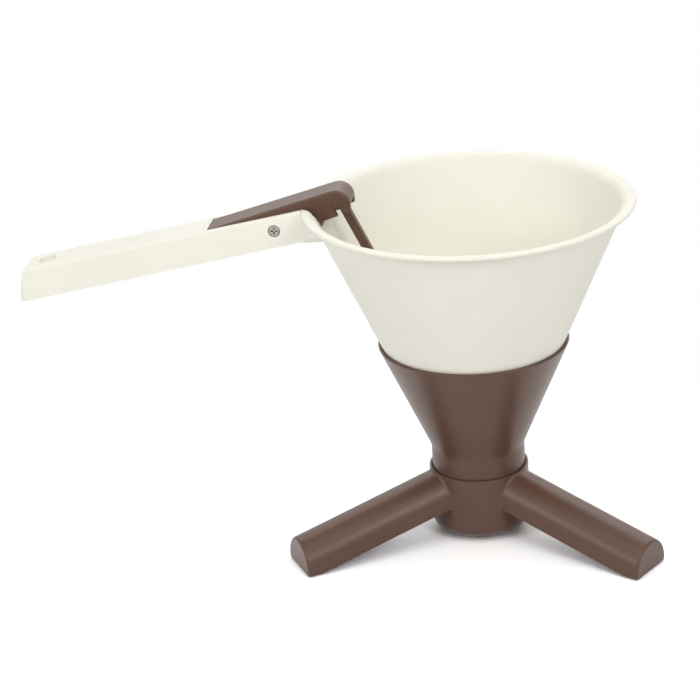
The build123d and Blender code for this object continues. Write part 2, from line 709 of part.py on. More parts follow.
with BuildPart() as lever:
    with BuildSketch(Plane.XZ) as lever_side:
        with BuildLine():
            Polyline(
                (nose_front_x, nose_z),
                (nose_front_x, nose_z - PRONG_DROP),
                lever_point(cheek_front, CHEEK_DEPTH),
                lever_point(cheek_back, CHEEK_DEPTH),
                lever_point(0, LEVER_REAR_DEPTH),
                lever_point(0, 0),
                lever_point(nose_along, 0),
            )
            ThreePointArc(lever_point(nose_along, 0), nose_arc_middle, (nose_front_x, nose_z))
        make_face()
        with Locations((pivot_x, pivot_z)):
            Circle(BOSS_RADIUS)
    extrude(amount=lever_width / 2, both=True)
    thumb_edges = lever.edges().filter_by(
        lambda edge: abs(edge.center().Y) > lever_width / 4
        and lever_depth(edge.center().X, edge.center().Z) < LEVER_REAR_DEPTH
    )
    fillet(thumb_edges, CHEEK_EDGE)
    with BuildSketch(Plane.XZ) as lever_cavity:
        with BuildLine():
            Polyline(
                lever_point(LEVER_REAR_WALL, LEVER_PLATE),
                lever_point(nose_along, LEVER_PLATE),
                (nose_x, nose_z),
                (nose_front_x + LEVER_PLATE, nose_z),
                (nose_front_x + LEVER_PLATE, cavity_low_z),
                (lever_point(LEVER_REAR_WALL, LEVER_PLATE)[0], cavity_low_z),
                close=True,
            )
        make_face()
        with Locations((nose_x, nose_z)):
            Circle(NOSE_RADIUS - LEVER_PLATE)
    extrude(amount=fork_gap / 2, both=True, mode=Mode.SUBTRACT)
    with BuildSketch(Plane.XZ) as pivot_bore:
        with Locations((pivot_x, pivot_z)):
            Circle(BARREL_RADIUS + PIVOT_CLEARANCE)
    extrude(amount=lever_width, both=True, mode=Mode.SUBTRACT)
    with BuildSketch(rod_plane) as trunnion_slot:
        with Locations((-eye_offset, rod_length)):
            Circle(TRUNNION_RADIUS + TRUNNION_CLEARANCE)
            Rectangle(
                2 * (TRUNNION_RADIUS - TRUNNION_SNAP),
                slot_length,
                align=(Align.CENTER, Align.MAX),
            )
    extrude(amount=lever_width, both=True, mode=Mode.SUBTRACT)

# Stopper rod: a flat bar with an eye and trunnions at the top, a flange and a peg for the plug at the bottom
trunnion_length = lever_width - 2 * TRUNNION_INSET
eye_thickness = fork_gap - 2 * EYE_SIDE_CLEARANCE

with BuildPart() as stopper_rod:
    with BuildSketch(rod_plane) as bar_side:
        with Locations((0, PLUG_TOP)):
            Rectangle(ROD_WIDTH, rod_length - PLUG_TOP, align=(Align.CENTER, Align.MIN))
    extrude(amount=ROD_THICKNESS / 2, both=True)
    bar_edges = stopper_rod.edges().filter_by(rod_axis)
    fillet(bar_edges, ROD_EDGE)
    with BuildSketch(rod_plane) as eye_side:
        with Locations((-eye_offset, rod_length)):
            Circle(EYE_RADIUS)
    extrude(amount=eye_thickness / 2, both=True)
    with BuildSketch(rod_plane) as trunnion_side:
        with Locations((-eye_offset, rod_length)):
            Circle(TRUNNION_RADIUS)
    extrude(amount=trunnion_length / 2, both=True)
    with BuildSketch(rod_plane) as foot_section:
        with Locations((0, PLUG_TOP)):
            Rectangle(FLANGE_RADIUS, FLANGE_THICKNESS, align=(Align.MIN, Align.MIN))
            Rectangle(PEG_RADIUS, PLUG_TOP + PEG_DEPTH, align=(Align.MIN, Align.MAX))
    revolve(axis=rod_axis)

with BuildPart() as stopper_plug:
    plug_flat = math.sqrt(PLUG_RADIUS**2 - PLUG_TOP**2)
    plug_hole = PEG_RADIUS + PEG_CLEARANCE
    plug_hole_end = -PEG_DEPTH - PEG_CLEARANCE
    with BuildSketch(rod_plane) as plug_section:
        with BuildLine():
            ThreePointArc((0, -PLUG_RADIUS), (PLUG_RADIUS, 0), (plug_flat, PLUG_TOP))
            Polyline(
                (plug_flat, PLUG_TOP),
                (plug_hole, PLUG_TOP),
                (plug_hole, plug_hole_end),
                (0, plug_hole_end),
                (0, -PLUG_RADIUS),
            )
        make_face()
    revolve(axis=rod_axis)

# Return spring: one wire, from a leg under the lever's plate, round the pivot, to a leg on the cross bar
spring_room = WIRE_RADIUS + SPRING_LEG_GAP + COIL_RADIUS
plate_room = lever_depth(pivot_x, pivot_z) - LEVER_PLATE - spring_room
bar_room = pivot_z - spring_bar_top_z - spring_room
upper_turn = (math.degrees(math.asin(plate_room / SPRING_LEG)) - LEVER_TILT) / 360
lower_turn = COIL_TURNS + 0.5 - math.degrees(math.asin(bar_room / SPRING_LEG)) / 360
coil_steps = 4 * COIL_TURNS + 2
coil_turns = [upper_turn + (lower_turn - upper_turn) * step / coil_steps for step in range(coil_steps + 1)]


def coil_point(turn):
    """Point of the coil's centre line after this many turns from its top."""
    angle = 2 * math.pi * turn
    x = pivot_x + COIL_RADIUS * math.sin(angle)
    z = pivot_z + COIL_RADIUS * math.cos(angle)
    return Vector(x, COIL_PITCH * (turn - (upper_turn + lower_turn) / 2), z)


def coil_way(turn):
    """Direction of the coil's centre line there."""
    angle = 2 * math.pi * turn
    around = 2 * math.pi * COIL_RADIUS
    return Vector(around * math.cos(angle), COIL_PITCH, -around * math.sin(angle)).normalized()


def biarc_joint(start, start_way, end, end_way):
    """Point where two arcs meet that join two points along two directions."""
    span = end - start
    ways = start_way + end_way
    spread = 2 * (1 - start_way.dot(end_way))
    reach = (math.sqrt(span.dot(ways) ** 2 + spread * span.dot(span)) - span.dot(ways)) / spread
    return (start + end + (start_way - end_way) * reach) / 2


upper_leg_end = coil_point(upper_turn) - coil_way(upper_turn) * SPRING_LEG
lower_leg_end = coil_point(lower_turn) + coil_way(lower_turn) * SPRING_LEG

with BuildPart() as return_spring:
    with BuildLine() as wire_path:
        Line(upper_leg_end, coil_point(upper_turn))
        for start_turn, end_turn in zip(coil_turns, coil_turns[1:]):
            start, end = coil_point(start_turn), coil_point(end_turn)
            joint = biarc_joint(start, coil_way(start_turn), end, coil_way(end_turn))
            first_half = TangentArc(start, joint, tangent=coil_way(start_turn))
            TangentArc(joint, end, tangent=first_half % 1)
        Line(coil_point(lower_turn), lower_leg_end)
    with BuildSketch(Plane(origin=upper_leg_end, z_dir=coil_way(upper_turn))) as wire_section:
        Circle(WIRE_RADIUS)
    sweep()

# Least gap between one turn of the wire and another, measured on points of its centre line
WIRE_SAMPLES = 400
wire = wire_path.wires()[0]
wire_points = [wire @ (step / WIRE_SAMPLES) for step in range(WIRE_SAMPLES + 1)]
half_turn = math.ceil(math.pi * COIL_RADIUS / wire.length * WIRE_SAMPLES)
wire_gap = min(
    (wire_points[far] - wire_points[near]).length - 2 * WIRE_RADIUS
    for near in range(WIRE_SAMPLES)
    for far in range(near + half_turn, WIRE_SAMPLES + 1)
)

pieces = {
    "tripod_stand": tripod_stand,
    "nozzle_cone": nozzle_cone,
    "seal_ring": seal_ring,
    "funnel_bowl": funnel_bowl,
    "funnel_handle": funnel_handle,
    "pivot_screw": pivot_screw,
    "pivot_barrel_nut": pivot_barrel_nut,
    "lever": lever,
    "stopper_rod": stopper_rod,
    "stopper_plug": stopper_plug,
    "return_spring": return_spring,
}
os.makedirs("parts", exist_ok=True)
for name, piece in pieces.items():
    piece.part.label = name
    export_step(piece.part, f"parts/{name}.step")
print("pivot", round(pivot_x, 3), round(pivot_z, 3), "nose", round(nose_x, 3), round(nose_z, 3))
print("plug centre", round(plug_z, 3), "rod angle", round(math.degrees(rod_angle), 2), "rim", rim_z)
print("spring least gap between turns", round(wire_gap, 3))
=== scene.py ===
"""Dresses the stopper funnel on its tripod stand: finishes, spring wire, moulding marks, light and camera.

Lengths are in metres and angles in degrees.
"""

import logging
import math
from dataclasses import dataclass, field
from enum import Enum

import bmesh
import bpy
from mathutils import Matrix, Vector


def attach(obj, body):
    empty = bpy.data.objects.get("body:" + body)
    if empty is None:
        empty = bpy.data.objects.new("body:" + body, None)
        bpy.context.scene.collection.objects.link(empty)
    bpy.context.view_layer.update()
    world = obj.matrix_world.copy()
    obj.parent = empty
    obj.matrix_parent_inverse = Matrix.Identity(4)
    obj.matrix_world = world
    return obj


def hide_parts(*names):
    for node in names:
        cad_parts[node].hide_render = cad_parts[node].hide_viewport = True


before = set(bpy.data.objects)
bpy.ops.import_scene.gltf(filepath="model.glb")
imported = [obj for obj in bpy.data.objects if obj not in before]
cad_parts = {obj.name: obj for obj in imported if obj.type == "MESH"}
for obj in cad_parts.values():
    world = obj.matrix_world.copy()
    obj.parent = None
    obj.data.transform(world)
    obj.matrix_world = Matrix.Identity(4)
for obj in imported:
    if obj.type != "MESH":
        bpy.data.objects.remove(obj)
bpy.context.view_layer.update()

MM = 0.001
UP = Vector((0.0, 0.0, 1.0))
FULL_TURN = 360
PIVOT = Vector((-92.886 * MM, 0.0, 161.626 * MM))

SCREEN_TOP = 255
SCREEN_KNEE = 0.04045
SCREEN_SLOPE = 12.92
SCREEN_LIFT = 0.055
SCREEN_POWER = 2.4

MIX_FIRST_COLOUR = 6
MIX_SECOND_COLOUR = 7
MIX_COLOUR_OUT = 2

Colour = tuple[float, float, float, float]
Socket = bpy.types.NodeSocket
WHITE: Colour = (1.0, 1.0, 1.0, 1.0)
WHOLE_RANGE = (0.0, 1.0)
NOISE_RANGE = (0.3, 0.7)

log = logging.getLogger("funnel")


class Body(Enum):
    """The bodies that the added pieces ride on."""

    STAND = "stand"
    FUNNEL = "funnel"
    LEVER = "lever"


class Slot(Enum):
    """The record's material slots."""

    CREAM = "cream_plastic"
    BROWN = "brown_plastic"
    STEEL = "steel"
    SILICONE = "silicone"


def screen(red: int, green: int, blue: int) -> Colour:
    """A colour as it looks on screen, from 0 to 255, turned into the shader's own scale.

    Args:
        red: Red share on screen.
        green: Green share on screen.
        blue: Blue share on screen.

    Returns:
        The four numbers that a colour socket takes.
    """

    def straight(share: int) -> float:
        """One share, freed of the screen's curve."""
        value = share / SCREEN_TOP
        if value <= SCREEN_KNEE:
            return value / SCREEN_SLOPE
        return ((value + SCREEN_LIFT) / (1 + SCREEN_LIFT)) ** SCREEN_POWER

    return (straight(red), straight(green), straight(blue), 1.0)


def shade(colour: Colour, share: float) -> Colour:
    """A colour made lighter or darker by a share of itself."""
    return (*(min(1.0, part * share) for part in colour[:3]), 1.0)


class NodeBench:
    """Puts one node material together."""

    def __init__(self, name: str) -> None:
        """Starts a material with a shader and an output.

        Args:
            name: The material's name.
        """
        self.material = bpy.data.materials.new(name)
        self.material.use_nodes = True
        self.nodes = self.material.node_tree.nodes
        self.links = self.material.node_tree.links
        self.shader = self.nodes["Principled BSDF"]
        self.place = self.add("ShaderNodeTexCoord").outputs["Object"]

    def add(self, kind: str, **settings: str | int) -> bpy.types.Node:
        """Adds a node.

        Args:
            kind: Blender's name of the node.
            settings: Properties of the node.

        Returns:
            The new node.
        """
        node = self.nodes.new(kind)
        for key, value in settings.items():
            setattr(node, key, value)
        return node

    def noise(
        self, size: float, detail: float, stretch: tuple[float, float, float] = (1.0, 1.0, 1.0)
    ) -> Socket:
        """A cloudy pattern.

        Args:
            size: Width of its larger clouds, in metres.
            detail: How many finer clouds it holds.
            stretch: How much longer the clouds are along each axis.

        Returns:
            The pattern's value.
        """
        mapping = self.add("ShaderNodeMapping")
        mapping.inputs["Scale"].default_value = [1 / part for part in stretch]
        self.links.new(self.place, mapping.inputs["Vector"])
        node = self.add("ShaderNodeTexNoise")
        node.inputs["Scale"].default_value = 1 / size
        node.inputs["Detail"].default_value = detail
        self.links.new(mapping.outputs["Vector"], node.inputs["Vector"])
        return node.outputs["Fac"]

    def spread(
        self, value: Socket, start: tuple[float, float], goal: tuple[float, float] = WHOLE_RANGE
    ) -> Socket:
        """Maps a value's range onto another.

        Args:
            value: What is mapped.
            start: The two ends of its range.
            goal: What the two ends become.

        Returns:
            The mapped value.
        """
        node = self.add("ShaderNodeMapRange")
        for key, number in zip(("From Min", "From Max", "To Min", "To Max"), (*start, *goal)):
            node.inputs[key].default_value = number
        self.links.new(value, node.inputs["Value"])
        return node.outputs["Result"]

    def sum(self, one: Socket, other: Socket) -> Socket:
        """Adds two values."""
        node = self.add("ShaderNodeMath", operation="ADD")
        self.links.new(one, node.inputs[0])
        self.links.new(other, node.inputs[1])
        return node.outputs["Value"]

    def blend(self, share: Socket, one: Colour | Socket, other: Colour | Socket) -> Socket:
        """Goes from one colour to another.

        Args:
            share: How far it has gone, from 0 to 1.
            one: The first colour, as numbers or as a socket.
            other: The second colour, as numbers or as a socket.

        Returns:
            The colour.
        """
        node = self.add("ShaderNodeMix", data_type="RGBA")
        self.links.new(share, node.inputs["Factor"])
        for key, colour in ((MIX_FIRST_COLOUR, one), (MIX_SECOND_COLOUR, other)):
            self.fill(node.inputs[key], colour)
        return node.outputs[MIX_COLOUR_OUT]

    def edges(self, width: float, bend: tuple[float, float], samples: int) -> Socket:
        """Finds the edges of a shape, where a painted highlight goes.

        Args:
            width: How far from an edge it reaches, in metres.
            bend: How well a rounded edge agrees with its face where the painted highlight starts and where
                it is full.
            samples: How finely it feels for an edge.

        Returns:
            A value that is 0 on open faces and rises towards an edge.
        """
        rounded = self.add("ShaderNodeBevel", samples=samples)
        rounded.inputs["Radius"].default_value = width
        facing = self.add("ShaderNodeNewGeometry")
        meet = self.add("ShaderNodeVectorMath", operation="DOT_PRODUCT")
        self.links.new(rounded.outputs["Normal"], meet.inputs[0])
        self.links.new(facing.outputs["Normal"], meet.inputs[1])
        return self.spread(meet.outputs["Value"], bend)

    def bump(self, height: Socket, depth: float, strength: float) -> None:
        """Raises the surface a little by a pattern.

        Args:
            height: The pattern.
            depth: How deep it is, in metres.
            strength: How much of it shows.
        """
        node = self.add("ShaderNodeBump")
        node.inputs["Distance"].default_value = depth
        node.inputs["Strength"].default_value = strength
        self.links.new(height, node.inputs["Height"])
        self.links.new(node.outputs["Normal"], self.shader.inputs["Normal"])

    def fill(self, socket: Socket, value: Socket | float | tuple[float, ...]) -> None:
        """Leads a pattern into a socket, or sets the socket to plain numbers."""
        if isinstance(value, Socket):
            self.links.new(value, socket)
        else:
            socket.default_value = value

    def feed(self, **sockets: Socket | float | tuple[float, ...]) -> None:
        """Feeds patterns or plain numbers into the shader.

        Args:
            sockets: Socket names, with underscores for spaces, and what goes into them.
        """
        for key, value in sockets.items():
            self.fill(self.shader.inputs[key.replace("_", " ")], value)


@dataclass(frozen=True)
class MouldedPlastic:
    """A moulded plastic with a fine spark-eroded skin and a painted highlight that lightens its colour along
    its edges.
    """

    name: str
    colour: Colour
    clouding: float
    # share by which the painted edge highlight lightens the colour
    edge_highlight: float
    roughness: tuple[float, float]
    grain_depth: float
    cloud_size: float = 22 * MM
    cloud_detail: float = 4.0
    grain_size: float = 0.32 * MM
    grain_detail: float = 2.0
    grain_strength: float = 0.35
    scuff_size: float = 2.2 * MM
    scuff_detail: float = 3.0
    scuff_stretch: tuple[float, float, float] = (2.0, 1.0, 1.0)
    scuff_range: tuple[float, float] = (0.5, 0.8)
    scuff_roughness: tuple[float, float] = (0.0, -0.02)
    edge_width: float = 0.5 * MM
    edge_bend: tuple[float, float] = (0.99, 0.75)
    edge_samples: int = 6
    # how far towards the painted edge highlight the colour goes, from open faces to edges
    edge_highlight_range: tuple[float, float] = (0.0, 0.7)
    refraction: float = 1.48

    def material(self) -> bpy.types.Material:
        """Makes the finish."""
        bench = NodeBench(self.name)
        clouds = bench.noise(self.cloud_size, self.cloud_detail)
        grain = bench.noise(self.grain_size, self.grain_detail)
        scuffs = bench.noise(self.scuff_size, self.scuff_detail, self.scuff_stretch)
        edges = bench.edges(self.edge_width, self.edge_bend, self.edge_samples)
        body = bench.blend(
            bench.spread(clouds, NOISE_RANGE),
            shade(self.colour, 1 - self.clouding),
            shade(self.colour, 1 + self.clouding),
        )
        # painted highlight: the colour is lightened towards every edge
        body_with_edge_highlight = bench.blend(
            bench.spread(edges, WHOLE_RANGE, self.edge_highlight_range), body, shade(self.colour, self.edge_highlight)
        )
        skin = bench.spread(grain, NOISE_RANGE, self.roughness)
        worn = bench.spread(scuffs, self.scuff_range, self.scuff_roughness)
        bench.feed(Base_Color=body_with_edge_highlight, Roughness=bench.sum(skin, worn), IOR=self.refraction)
        bench.bump(grain, self.grain_depth, self.grain_strength)
        return bench.material


@dataclass(frozen=True)
class TurnedSteel:
    """Steel turned on a lathe, with fine rings round its axis and painted shade darkening its hollows."""

    name: str
    colour: Colour
    centre: tuple[float, float, float]
    # colour of the painted shade in the hollows
    hollow_shade: Colour
    roughness: tuple[float, float] = (0.14, 0.30)
    ring_step: float = 0.12 * MM
    ring_scale: float = 0.3
    ring_wander: float = 1.5
    ring_detail: float = 2.0
    ring_depth: float = 0.01 * MM
    ring_strength: float = 0.3
    stain_size: float = 1.4 * MM
    stain_detail: float = 4.0
    stain_range: tuple[float, float] = (0.35, 0.7)
    stain_shade: float = 0.8
    # reach, range and samples of the ambient occlusion that paints shade into the hollows
    hollow_shade_reach: float = 0.9 * MM
    hollow_shade_range: tuple[float, float] = (0.45, 0.9)
    hollow_shade_samples: int = 8

    def material(self) -> bpy.types.Material:
        """Makes the finish."""
        bench = NodeBench(self.name)
        centred = bench.add("ShaderNodeMapping")
        centred.inputs["Location"].default_value = [-part for part in self.centre]
        bench.links.new(bench.place, centred.inputs["Vector"])
        rings = bench.add("ShaderNodeTexWave", wave_type="RINGS", rings_direction="Y")
        rings.inputs["Scale"].default_value = self.ring_scale / self.ring_step
        rings.inputs["Distortion"].default_value = self.ring_wander
        rings.inputs["Detail"].default_value = self.ring_detail
        bench.links.new(centred.outputs["Vector"], rings.inputs["Vector"])
        stains = bench.noise(self.stain_size, self.stain_detail)
        bare = bench.blend(
            bench.spread(stains, self.stain_range), shade(self.colour, self.stain_shade), self.colour
        )
        # painted shade: ambient occlusion darkens the colour in the hollows, the cross recess and round the
        # sunk head
        hollows = bench.add("ShaderNodeAmbientOcclusion", samples=self.hollow_shade_samples)
        hollows.inputs["Distance"].default_value = self.hollow_shade_reach
        bench.feed(
            Base_Color=bench.blend(bench.spread(hollows.outputs["AO"], self.hollow_shade_range), self.hollow_shade, bare),
            Roughness=bench.spread(rings.outputs["Fac"], WHOLE_RANGE, self.roughness),
            Metallic=1.0,
        )
        bench.bump(rings.outputs["Fac"], self.ring_depth, self.ring_strength)
        return bench.material


@dataclass(frozen=True)
class MilkySilicone:
    """Soft milky silicone with a faint dusty bloom."""

    name: str
    colour: Colour
    roughness: tuple[float, float] = (0.42, 0.58)
    refraction: float = 1.41
    bloom_size: float = 3.0 * MM
    bloom_detail: float = 5.0
    bloom_range: tuple[float, float] = (0.35, 0.7)
    bloom_shades: tuple[float, float] = (0.94, 1.05)
    pore_size: float = 0.25 * MM
    pore_detail: float = 2.0
    pore_depth: float = 0.02 * MM
    pore_strength: float = 0.25
    milkiness: float = 0.3
    milk_reach: float = 2.5 * MM
    milk_tint: tuple[float, float, float] = (1.0, 0.9, 0.7)

    def material(self) -> bpy.types.Material:
        """Makes the finish."""
        bench = NodeBench(self.name)
        bloom = bench.noise(self.bloom_size, self.bloom_detail)
        pores = bench.noise(self.pore_size, self.pore_detail)
        clear, dusty = (shade(self.colour, share) for share in self.bloom_shades)
        bench.feed(
            Base_Color=bench.blend(bench.spread(bloom, self.bloom_range), clear, dusty),
            Roughness=bench.spread(bloom, NOISE_RANGE, self.roughness),
            IOR=self.refraction,
            Subsurface_Weight=self.milkiness,
            Subsurface_Radius=self.milk_tint,
            Subsurface_Scale=self.milk_reach,
        )
        bench.bump(pores, self.pore_depth, self.pore_strength)
        return bench.material


CREAM = MouldedPlastic(
    name="cream_plastic",
    colour=screen(240, 238, 225),
    clouding=0.012,
    # painted edge highlight: the colour is lightened by this share at the edges
    edge_highlight=1.05,
    roughness=(0.54, 0.68),
    grain_depth=0.012 * MM,
)
BROWN = MouldedPlastic(
    name="brown_plastic",
    colour=screen(92, 66, 53),
    clouding=0.05,
    # painted edge highlight: the colour is lightened by this share at the edges
    edge_highlight=1.35,
    roughness=(0.29, 0.40),
    grain_depth=0.014 * MM,
    refraction=1.40,
)
STEEL = TurnedSteel(
    name="turned_steel",
    colour=screen(196, 192, 186),
    centre=tuple(PIVOT),
    # colour of the painted shade in the screw's hollows
    hollow_shade=screen(38, 34, 30),
)
SILICONE = MilkySilicone(name="milky_silicone", colour=screen(222, 218, 206))


class FinishShelf:
    """Holds one material of each finish."""

    def __init__(self) -> None:
        """Makes the four materials."""
        self.by_slot = {
            Slot.CREAM: CREAM.material(),
            Slot.BROWN: BROWN.material(),
            Slot.STEEL: STEEL.material(),
            Slot.SILICONE: SILICONE.material(),
        }

    def dress(self, piece: bpy.types.Object, slot: Slot) -> None:
        """Gives a piece a finish.

        Args:
            piece: The piece.
            slot: Which finish it gets.
        """
        piece.data.materials.clear()
        piece.data.materials.append(self.by_slot[slot])


def settle(
    name: str, mesh: bmesh.types.BMesh, body: Body, slot: Slot, shelf: FinishShelf
) -> bpy.types.Object:
    """Turns a finished bmesh into a piece that rides on a body.

    Args:
        name: The piece's name.
        mesh: Its mesh, in place, which is freed.
        body: What it moves with.
        slot: Its finish.
        shelf: Where the finishes are.

    Returns:
        The piece.
    """
    bmesh.ops.recalc_face_normals(mesh, faces=mesh.faces)
    data = bpy.data.meshes.new(name)
    for face in mesh.faces:
        face.smooth = True
    mesh.to_mesh(data)
    mesh.free()
    piece = bpy.data.objects.new(name, data)
    bpy.context.scene.collection.objects.link(piece)
    shelf.dress(piece, slot)
    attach(piece, body.value)
    log.info("%s rides on %s", name, body.value)
    return piece


def dress_node(node: str, slot: Slot, shelf: FinishShelf) -> None:
    """Gives a node of the frame its finish.

    Args:
        node: The node's name.
        slot: Its finish.
        shelf: Where the finishes are.
    """
    shelf.dress(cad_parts[node], slot)
    log.info("%s is finished in %s", node, slot.value)


def round_off(mesh: bmesh.types.BMesh, edges: list[bmesh.types.BMEdge], width: float) -> None:
    """Takes off sharp edges.

    Args:
        mesh: The mesh that holds them.
        edges: The sharp edges.
        width: How wide the rounding is, in metres.
    """
    bmesh.ops.bevel(mesh, geom=edges, offset=width, affect="EDGES", segments=3, profile=0.5, material=-1)


@dataclass
class PinMark:
    """The shallow round mark that an ejector pin or a gate leaves on a moulding."""

    radius: float
    proud: float
    sunk: float
    edge: float = 0.12 * MM
    sides: int = 40

    def add(self, mesh: bmesh.types.BMesh, place: Vector, facing: Vector) -> None:
        """Adds a mark to a mesh.

        Args:
            mesh: The mesh that it goes into.
            place: Where the mark's middle meets the surface.
            facing: The way that the surface faces there.
        """
        turn = facing.to_track_quat("Z", "Y").to_matrix().to_4x4()
        seat = Matrix.Translation(place - facing * self.sunk) @ turn
        ring = bmesh.ops.create_circle(
            mesh, cap_ends=True, radius=self.radius, segments=self.sides, matrix=seat
        )
        floor = list({face for vert in ring["verts"] for face in vert.link_faces})
        raised = bmesh.ops.extrude_face_region(mesh, geom=floor)
        lid = [part for part in raised["geom"] if isinstance(part, bmesh.types.BMVert)]
        bmesh.ops.translate(mesh, verts=lid, vec=facing * (self.sunk + self.proud))
        rim = [part for part in raised["geom"] if isinstance(part, bmesh.types.BMEdge)]
        round_off(mesh, rim, self.edge)


@dataclass
class Stand:
    """The tripod stand: a cup with three hollow legs."""

    leg_azimuths: tuple[float, ...] = (90.0, 210.0, 330.0)
    leg_reach: float = 99.0 * MM
    leg_end_height: float = 2.5 * MM
    leg_slope: float = 14.4
    hollow_radius: float = 10.9 * MM
    mark_insets: tuple[float, ...] = (24.0 * MM, 50.0 * MM)
    cup_bottom: float = 2.7 * MM
    pin: PinMark = field(default_factory=lambda: PinMark(radius=2.4 * MM, proud=0.0, sunk=0.9 * MM))
    gate: PinMark = field(default_factory=lambda: PinMark(radius=1.6 * MM, proud=0.25 * MM, sunk=0.3 * MM))
    crown_drop: float = 0.45 * MM

    def build(self, shelf: FinishShelf) -> None:
        """Makes the marks under the stand.

        Args:
            shelf: Where the finishes are.
        """
        mesh = bmesh.new()
        self.gate.add(mesh, Vector((0.0, 0.0, self.cup_bottom)), -UP)
        slope = math.radians(self.leg_slope)
        for azimuth in self.leg_azimuths:
            turn = math.radians(azimuth)
            outward = Vector((math.cos(turn), math.sin(turn), 0.0))
            down = -outward * math.sin(slope) - UP * math.cos(slope)
            for inset in self.mark_insets:
                height = self.leg_end_height + math.tan(slope) * inset + self.hollow_radius
                crown = outward * (self.leg_reach - inset) + UP * height
                self.pin.add(mesh, crown + down * self.crown_drop, down)
        settle("stand_mould_marks", mesh, Body.STAND, Slot.BROWN, shelf)

    def dress(self, shelf: FinishShelf) -> None:
        """Finishes the stand."""
        dress_node("tripod_stand", Slot.BROWN, shelf)


@dataclass
class Nozzle:
    """The nozzle and its gasket."""

    def dress(self, shelf: FinishShelf) -> None:
        """Finishes the nozzle."""
        dress_node("nozzle_cone", Slot.BROWN, shelf)
        dress_node("seal_ring", Slot.SILICONE, shelf)


@dataclass
class Funnel:
    """The funnel's bowl and handle, with the pivot's screw and nut."""

    rim_radius: float = 75.886 * MM
    rim_height: float = 172.0 * MM
    handle_start: float = 1.4 * MM
    handle_slope: float = 11.5
    deck: float = 2.0 * MM
    mark_reaches: tuple[float, ...] = (141.3 * MM, 166.6 * MM, 191.9 * MM)
    pin: PinMark = field(default_factory=lambda: PinMark(radius=2.6 * MM, proud=0.2 * MM, sunk=0.3 * MM))

    def build(self, shelf: FinishShelf) -> None:
        """Makes the marks under the handle's top wall.

        Args:
            shelf: Where the finishes are.
        """
        mesh = bmesh.new()
        slope = math.radians(self.handle_slope)
        facing = Vector((math.sin(slope), 0.0, -math.cos(slope)))
        for reach in self.mark_reaches:
            fall = math.tan(slope) * (reach - self.rim_radius - self.handle_start)
            self.pin.add(mesh, Vector((-reach, 0.0, self.rim_height - fall - self.deck)), facing)
        settle("handle_mould_marks", mesh, Body.FUNNEL, Slot.CREAM, shelf)

    def dress(self, shelf: FinishShelf) -> None:
        """Finishes the bowl, the handle and the pivot."""
        for node in ("funnel_bowl", "funnel_handle"):
            dress_node(node, Slot.CREAM, shelf)
        for node in ("pivot_screw", "pivot_barrel_nut"):
            dress_node(node, Slot.STEEL, shelf)


